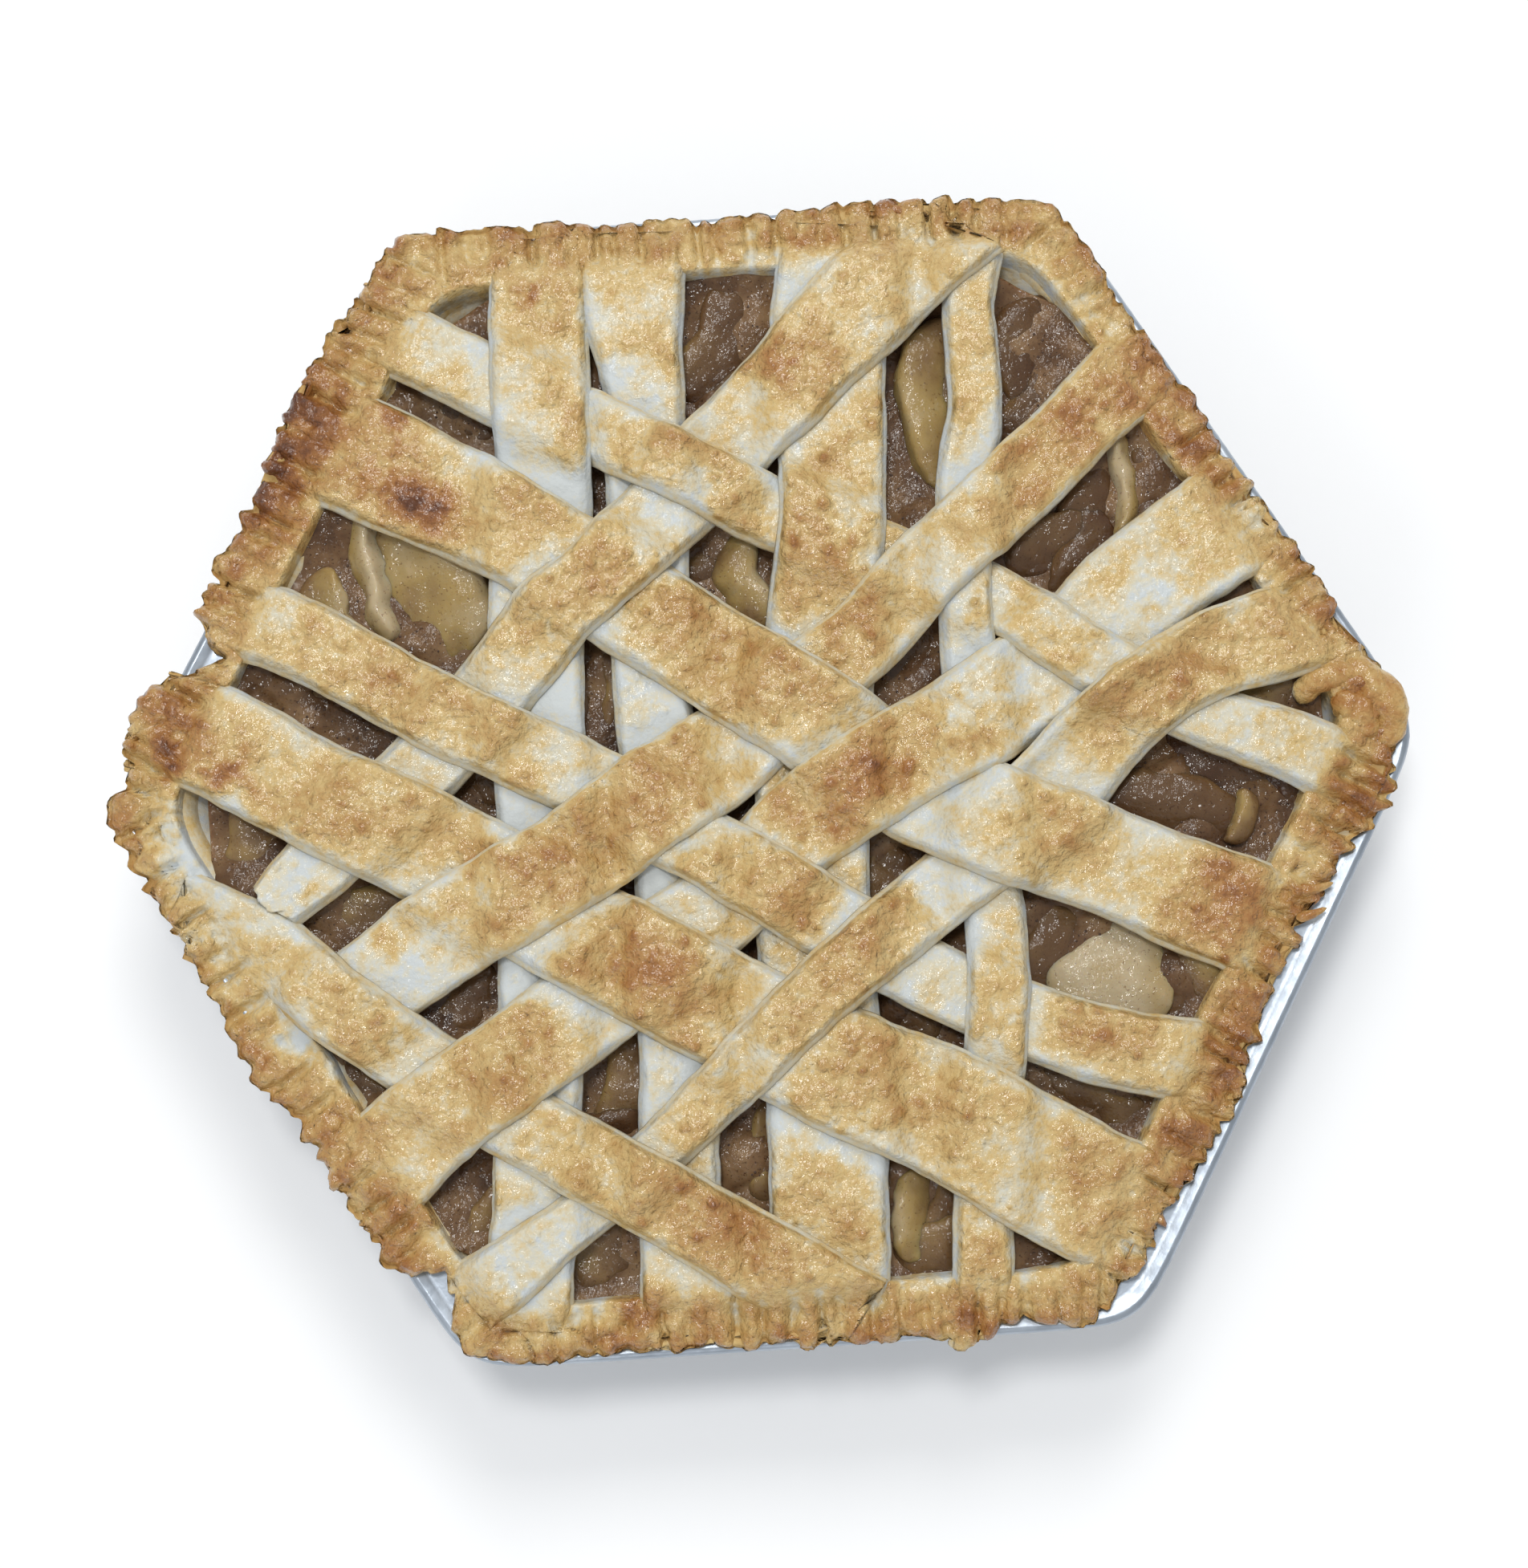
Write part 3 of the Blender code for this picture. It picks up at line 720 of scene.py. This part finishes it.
def crustPiece():
    rows = crust["rows"]
    lines = len(crust["inside"]) + rows + len(crust["lip"]) + len(crust["under"])
    piece, order, nu, _ = gridPiece("pastry_rim", crust["around"], lines - 1)
    dx, dy = hexRing(nu)
    edge = rimEdge(dx * 125, dy * 125)
    inner = rimInner(dx * 113, dy * 113)
    rings = []

    def addRing(r, z, brown, wash):
        rings.append([dx * r, dy * r, z + 0 * dx, brown + 0 * dx, wash + 0 * dx])

    for reach, z in crust["inside"]:
        addRing(np.minimum(reach, inner - 1.2 - (39 - z) * 0.04), z, 0.08, 0)
    for k in range(rows):
        reach = inner - 0.6 + (edge - inner + 0.6) * k / (rows - 1)
        x, y = dx * reach, dy * reach
        z = rimTop(x, y, reach) + 0.5 * blisters(x, y, 3.2, 301, 0.5)
        z = z - 1.3 * ease(edge - 1.6, edge, reach) ** 2
        brown = rimTone(x, y, reach) + patchTone(x, y) - 0.16 * (1 - ease(-0.5, 1.5, reach - inner))
        addRing(reach, z, np.clip(brown, 0, 1), np.clip(0.2 + 2.2 * (brown - 0.15), 0, 1))
    for out, z in crust["lip"]:
        x, y = dx * (edge + out), dy * (edge + out)
        addRing(edge + out, z + 0.3 * mottle(x, y, 4, 320, 2), 0.42, 0.2)
    for reach, z in crust["under"]:
        addRing(np.minimum(reach, edge - 1.5), z, 0.2, 0)
    x, y, z, brown, wash = np.array(rings).transpose(1, 0, 2)
    bendGrid(piece, order, x, y, z, {"brown": brown, "wash": wash})
    return dress(piece, "pastry", "crust", "lower_crust")


crustPiece()
print("rim done")


# loose ends of dough curled on the rim, as bent rods: x, y, height, radius along each
curls = [
    [(119, 7, 40.8, 2.6), (122, 11, 42.0, 3.6), (128, 13, 42.2, 4.2), (134, 11, 42.0, 4.2),
     (138, 6, 41.8, 4.0), (139, 0, 41.6, 3.4), (137, -5, 41.2, 2.6)],
    [(126, 7, 41.6, 2.8), (130, 6, 42.4, 3.8), (133, 2, 42.2, 3.6), (134, -3, 41.6, 2.6)],
    [(115, -35, 42.6, 1.6), (119, -34.5, 42.8, 1.0), (123, -33.5, 42.6, 0.4)],
    [(114, -41, 42.6, 1.4), (118, -40, 42.8, 0.9), (121, -39, 42.6, 0.4)],
]


def curlPiece():
    made = []
    for points in curls:
        flat = smoothPath([(p[0], p[1], p[3]) for p in points], 0.8)
        tall = smoothPath([(p[0], p[1], p[2]) for p in points], 0.8)[:, 2]
        piece, order, nu, nv = gridPiece("curl", len(flat) - 1, 17)
        flat, tall = flat[:nu], tall[:nu]
        run = np.gradient(flat[:, :2], axis=0)
        run /= np.hypot(*run.T)[:, None]
        share = np.arange(nu) / (nu - 1)
        radius = flat[:, 2] * np.clip(1 - (2 * share - 1) ** 10, 0.02, 1) ** 0.5
        turn = np.linspace(0, 2 * math.pi, nv)[:, None]
        lump = 1 + 0.42 * mottle(flat[:, 0] + 3 * np.cos(turn), flat[:, 1] + 3 * np.sin(turn), 3.4, 700)
        wide = radius * lump
        x = flat[:, 0] - run[:, 1] * wide * np.cos(turn)
        y = flat[:, 1] + run[:, 0] * wide * np.cos(turn)
        z = tall + wide * np.sin(turn) * 0.8
        brown = 0.34 + 0.12 * np.sin(turn) + 0.25 * clouds(x, y, z, 5, 710, 3) + 0.5 * patchTone(x, y)
        made.append(bendGrid(piece, order, x, y, z, {"brown": np.clip(brown, 0, 1), "wash": 0.6 + 0 * x}))
    return dress(joined(made, "pastry_curls"), "pastry", "crust")


curlPiece()
print("curls done")


# filling: a lumpy core, soft fruit slices in it and spice specks on it

core = {"spacing": 0.9, "half": 127, "level": 39.2, "floor": 4.8, "side": 116.2, "corner": 124.5,
        "narrowing": 0.84}
# how far the middle of a slice lies under the juice's level, and the highest it may reach
slices = {"pale": 1.5, "soaked": 2.9, "paleFrom": 0.55, "ceiling": 42.8}
# fruit: place, turn in degrees, length, width, thickness, bow, tilt, tint
fruit = [
    (42, 80, 94, 42, 15, 8, -4, 12, 0.64), (47, 78, 90, 34, 12, 7, -3, -10, 0.50),
    (-71, 48, -62, 36, 22, 8, -4, 8, 0.78), (-86.5, 50, -80, 32, 7, 8, 3, 30, 0.92),
    (-96, 41, -70, 22, 12, 6, 3, 5, 0.70), (-100, 22, 20, 20, 10, 6, 3, 5, 0.50),
    (-82, 24, -25, 30, 12, 6, 4, 0, 0.40), (-3, 42, -76, 24, 11, 7, 2, 10, 0.74),
    (-12, 47, 50, 22, 10, 6, 2, 0, 0.42), (85, 60, 88, 26, 5.5, 7, 2, 25, 0.78),
    (91, 58, 84, 26, 8, 6, 2, -8, 0.34), (77, 57, 70, 22, 10, 6, 2, 0, 0.26),
    (74, -52, 38, 27, 23, 8, 3, -6, 1.0), (60, -44, 62, 26, 14, 7, 3, 0, 0.42),
    (88, -51, 88, 26, 11, 7, 2, 0, 0.36), (92, -48, -80, 20, 9, 7, 2, 0, 0.60),
    (24, -99, 78, 22, 8, 7, -2, 10, 0.80), (32, -108, 20, 22, 12, 6, 3, 0, 0.50),
    (34, -97, 85, 20, 10, 6, 2, 0, 0.40), (90, -14, -12, 40, 15, 8, -5, 5, 0.32),
    (104, -6, -20, 34, 12, 6, 4, 0, 0.22), (106, -18, 70, 13, 6, 7, 2, 20, 0.60),
    (116, -10, -10, 12, 8, 7, 1, 0, 0.15), (-34, -69, 70, 26, 16, 7, 4, 0, 0.46),
    (-39, -76, 20, 16, 9, 7, 2, 0, 0.20), (-5, -82, 86, 30, 11, 7, -3, 8, 0.48),
    (-4, 97, 60, 30, 16, 7, 4, 5, 0.32), (4, 88, 30, 22, 12, 6, 3, 0, 0.36),
    (63, 92, 80, 28, 14, 7, -4, 0, 0.26), (66, 78, 40, 20, 12, 6, 3, 0, 0.28),
    (64, 46, 10, 26, 14, 7, 3, 5, 0.34), (75, 43, 60, 24, 12, 6, 3, 0, 0.24),
    (-114, -8, 76, 24, 13, 7, 3, 0, 0.50), (-88, -26, 20, 30, 14, 7, 4, 0, 0.46),
    (-69, -49, 40, 22, 12, 7, 3, 0, 0.40), (-62, 88, -50, 26, 13, 6, 3, 0, 0.42),
    (-36, 108, 80, 22, 9, 6, 2, 0, 0.40), (-42, 22, 88, 28, 10, 7, 2, 0, 0.42),
    (33, 25, 45, 24, 12, 6, 2, 0, 0.34), (25, -28, 60, 20, 12, 6, 2, 0, 0.44),
    (24, -57, -30, 22, 11, 6, 2, 0, 0.42), (66, -77, -25, 26, 10, 6, 2, 0, 0.50),
    (55, -112, 30, 24, 11, 6, 2, 0, 0.50), (-67, -95, 60, 22, 10, 6, 2, 0, 0.44),
    (-44, -104, 30, 24, 12, 6, 2, 0, 0.44), (-92, -66, -45, 24, 9, 6, 2, 0, 0.46),
    (-62, 2, -30, 22, 11, 6, 2, 0, 0.42), (-31, 20, 85, 24, 9, 6, 2, 0, 0.36),
    (100, 32, 25, 20, 8, 6, 1, 0, 0.30), (115, 10, 15, 24, 9, 6, 2, 0, 0.62),
    (-6, -10, 40, 18, 9, 6, 1, 0, 0.30),
]


def coreHeight(x, y):
    lumps = 1.5 * mottle(x, y, 22, 401, 2) + 0.55 * mottle(x, y, 6, 405)
    warp = 2 * mottle(x, y, 15, 411, 2)
    d, own = cells(x * 0.8 + y * 0.6 + warp, (y * 0.8 - x * 0.6) * 1.7, 19, 407)
    buried = 1.6 * np.clip(1 - (d / 0.62) ** 2, 0, 1) ** 1.4 * (own > -0.4)
    return core["level"] + lumps + buried - 1.6 + 1.0 * ease(104, 113, hexReach(x, y))


def corePiece():
    half = core["half"]
    n = int(2 * half / core["spacing"])
    piece, order, nu, nv = gridPiece("filling_core", n, n)
    x, y = np.meshgrid(np.linspace(-half, half, nu), np.linspace(-half, half, nv))
    z = coreHeight(x, y)
    bendGrid(piece, order, x, y, z, {})
    bpy.ops.object.mode_set(mode="EDIT")
    cuts = [(a, core["side"]) for a in sideAngles]
    cuts += [(a + math.radians(30), core["corner"]) for a in sideAngles]
    for a, distance in cuts:
        bpy.ops.mesh.select_all(action="SELECT")
        out = Vector((math.cos(a), math.sin(a), 0))
        bpy.ops.mesh.bisect(plane_co=out * distance * mm, plane_no=out, clear_outer=True,
                            threshold=0.000001)
    bpy.ops.mesh.select_all(action="DESELECT")
    bpy.ops.mesh.select_non_manifold()
    bpy.ops.mesh.extrude_region_move(TRANSFORM_OT_translate={"value": (0, 0, -0.012)})
    bpy.ops.transform.resize(value=(1, 1, 0), center_override=(0, 0, core["floor"] * mm))
    bpy.ops.transform.resize(value=(core["narrowing"], core["narrowing"], 1), center_override=(0, 0, 0))
    bpy.ops.mesh.edge_face_add()
    bpy.ops.mesh.select_all(action="SELECT")
    bpy.ops.mesh.normals_make_consistent(inside=False)
    bpy.ops.object.mode_set(mode="OBJECT")
    return dress(piece, "filling", "filling", "filling")


corePiece()


def fruitPiece():
    made = []
    for k, (px, py, turn, long, wide, thick, bow, tilt, tint) in enumerate(fruit):
        bpy.ops.mesh.primitive_uv_sphere_add(segments=48, ring_count=30, radius=1)
        ball = bpy.context.object
        co = np.empty(len(ball.data.vertices) * 3)
        ball.data.vertices.foreach_get("co", co)
        co = co.reshape(-1, 3)
        sx, sy, sz = co[:, 2], co[:, 1], co[:, 0]
        flatten = np.sign(sz) * np.abs(sz) ** 0.6
        x, y = sx * long / 2, sy * wide / 2 * np.sqrt(1 + sx ** 2)
        z = flatten * thick / 2 * (0.75 + 0.25 * sy)
        y = y + bow * sx ** 2
        y = y + 2.4 * clouds(x + 50 * k, 0.3 * y, z, 8, 510, 3)
        z = z + 1.0 * clouds(x + 50 * k, y, z, 6.5, 500, 3)
        a, b = math.radians(turn), math.radians(tilt)
        y, z = y * math.cos(b) - z * math.sin(b), y * math.sin(b) + z * math.cos(b)
        wx, wy = px + x * math.cos(a) - y * math.sin(a), py + x * math.sin(a) + y * math.cos(a)
        sunk = slices["pale"] if tint > slices["paleFrom"] else slices["soaked"]
        wz = np.minimum(core["level"] - sunk + z, slices["ceiling"])
        ball.data.vertices.foreach_set("co", (np.stack([wx, wy, wz], 1) * mm).ravel())
        layer = ball.data.attributes.new("tint", "FLOAT", "POINT")
        spread = tint + 0.16 * sy - 0.12 * np.abs(sx) ** 3 + 0.16 * clouds(x + 50 * k, y, z, 6, 520, 3)
        layer.data.foreach_set("value", spread.astype(np.float32))
        made.append(ball)
    piece = joined(made, "fruit_slices")
    bpy.ops.object.mode_set(mode="EDIT")
    bpy.ops.mesh.select_all(action="SELECT")
    bpy.ops.mesh.normals_make_consistent(inside=False)
    bpy.ops.object.mode_set(mode="OBJECT")
    bpy.ops.object.shade_smooth()
    return dress(piece, "fruit", "filling")


fruitPiece()
print("filling done")


# tin

tin = {"around": 480, "edge": 127.0, "deep": 38.0, "sheet": 0.9, "bead": 1.6}


def tinPiece():
    edge, deep, sheet, bead = tin["edge"], tin["deep"], tin["sheet"], tin["bead"]
    outside = [(0.01, 0), (60, 0), (98.5, 0), (101.5, 0.3), (103.8, 1.4), (105.5, 4.8), (112, 29),
               (114.0, deep - 1.6), (114.6, deep - 0.3), (115.6, deep), (120, deep), (edge - 3.4, deep)]
    curl = [(edge - bead + bead * math.cos(math.radians(a)), deep + 0.35 + bead * math.sin(math.radians(a)))
            for a in range(205, 460, 18)]
    inside = [(edge - 3.3, deep + sheet + 0.1), (edge - 4.4, deep + sheet), (120, deep + sheet),
              (115.4, deep + sheet), (114.2, deep + 0.3), (113.2, deep - 1.2), (111, 28),
              (104.6, 4.9), (102.9, 2.0), (99.2, sheet), (60, sheet), (0.01, sheet)]
    profile = outside + curl + inside
    piece, order, nu, _ = gridPiece("baking_tin", tin["around"], len(profile) - 1)
    dx, dy = hexRing(nu)
    reach = np.array([p[0] for p in profile])[:, None]
    z = np.array([p[1] for p in profile])[:, None] + 0 * dx
    x, y = dx * reach, dy * reach
    outer = ease(edge - 3.4, edge - 1, reach) * (z > deep)
    z = z + outer * 0.12 * np.sin(np.abs(sideOf(x, y)[1]) * 2 * math.pi / 2.9)
    bendGrid(piece, order, x, y, z, {})
    return dress(piece, "tin", "tin_metal", "tin")


tinPiece()
print("tin done")


# spice specks on the filling

specks = {"count": 2600, "box": (118, 108), "reach": 108, "radius": (0.12, 0.38)}


def speckPiece():
    bpy.ops.mesh.primitive_ico_sphere_add(subdivisions=1, radius=1)
    seedBall = bpy.context.object
    ball = np.array([v.co[:] for v in seedBall.data.vertices])
    faces = np.array([f.vertices[:] for f in seedBall.data.polygons])
    bpy.data.objects.remove(seedBall, do_unlink=True)
    spots = []
    halfX, halfY = specks["box"]
    while len(spots) < specks["count"]:
        px, py = rng.uniform(-halfX, halfX), rng.uniform(-halfY, halfY)
        if hexReach(np.array([px]), np.array([py]))[0] < specks["reach"]:
            spots.append((px, py, rng.uniform(*specks["radius"])))
    px, py, size = np.array(spots).T
    pz = coreHeight(px, py) + 0.05
    co = np.stack([px, py, pz], 1)[:, None] + ball[None] * size[:, None, None] * np.array([1, 1, 0.5])
    allFaces = (faces[None] + np.arange(len(spots))[:, None, None] * len(ball)).reshape(-1, 3)
    mesh = bpy.data.meshes.new("spice_specks")
    mesh.from_pydata((co.reshape(-1, 3) * mm).tolist(), [], allFaces.tolist())
    piece = bpy.data.objects.new("spice_specks", mesh)
    bpy.context.scene.collection.objects.link(piece)
    return dress(piece, "speck", "filling")


speckPiece()


# floor, light and camera

bpy.ops.mesh.primitive_plane_add(size=6, location=(0, 0, -0.0005))
floor = bpy.context.object
floor.name = "floor"
floorLook, _, floorShader = newMaterial("floorPaper")
floorShader.inputs["Base Color"].default_value = (0.96, 0.96, 0.96, 1)
floorShader.inputs["Roughness"].default_value = 0.9
floor.data.materials.append(floorLook)

world = bpy.data.worlds.new("studio")
bpy.context.scene.world = world
world.use_nodes = True
world.node_tree.nodes["Background"].inputs["Color"].default_value = (0.94, 0.97, 1.0, 1)
world.node_tree.nodes["Background"].inputs["Strength"].default_value = 0.52
bpy.context.scene.view_settings.view_transform = "Standard"


def areaLight(name, place, aim, size, power, colour):
    data = bpy.data.lights.new(name, "AREA")
    data.size = size
    data.energy = power
    data.color = colour
    lamp = bpy.data.objects.new(name, data)
    lamp.location = place
    lamp.rotation_euler = (Vector(aim) - Vector(place)).to_track_quat("-Z", "Y").to_euler()
    bpy.context.scene.collection.objects.link(lamp)


areaLight("keyLight", (0.12, 1.4, 1.7), (0, 0, 0.04), 0.75, 16, (1.0, 0.99, 0.97))
areaLight("glintLight", (-0.2, 0.45, 2.0), (0, 0, 0.04), 0.38, 13, (1.0, 1.0, 1.0))
areaLight("sideLight", (-0.7, -1.5, 1.2), (0, 0, 0.04), 0.9, 7, (0.97, 0.98, 1.0))

view = {"distance": 0.650, "tilt": 6.5, "roll": 3.8, "aim": (-0.0009, -0.003, 0.039), "across": 0.3400}
cameraData = bpy.data.cameras.new("camera")
camera = bpy.data.objects.new("camera", cameraData)
bpy.context.scene.collection.objects.link(camera)
tilt, roll = math.radians(view["tilt"]), math.radians(view["roll"])
camera.rotation_mode = "XYZ"
camera.rotation_euler = (tilt, 0, -roll)
backwards = camera.rotation_euler.to_matrix() @ Vector((0, 0, 1))
camera.location = Vector(view["aim"]) + backwards * view["distance"]
cameraData.sensor_fit = "HORIZONTAL"
cameraData.angle = 2 * math.atan(view["across"] / 2 / view["distance"])
cameraData.clip_start = 0.01
bpy.context.scene.camera = camera
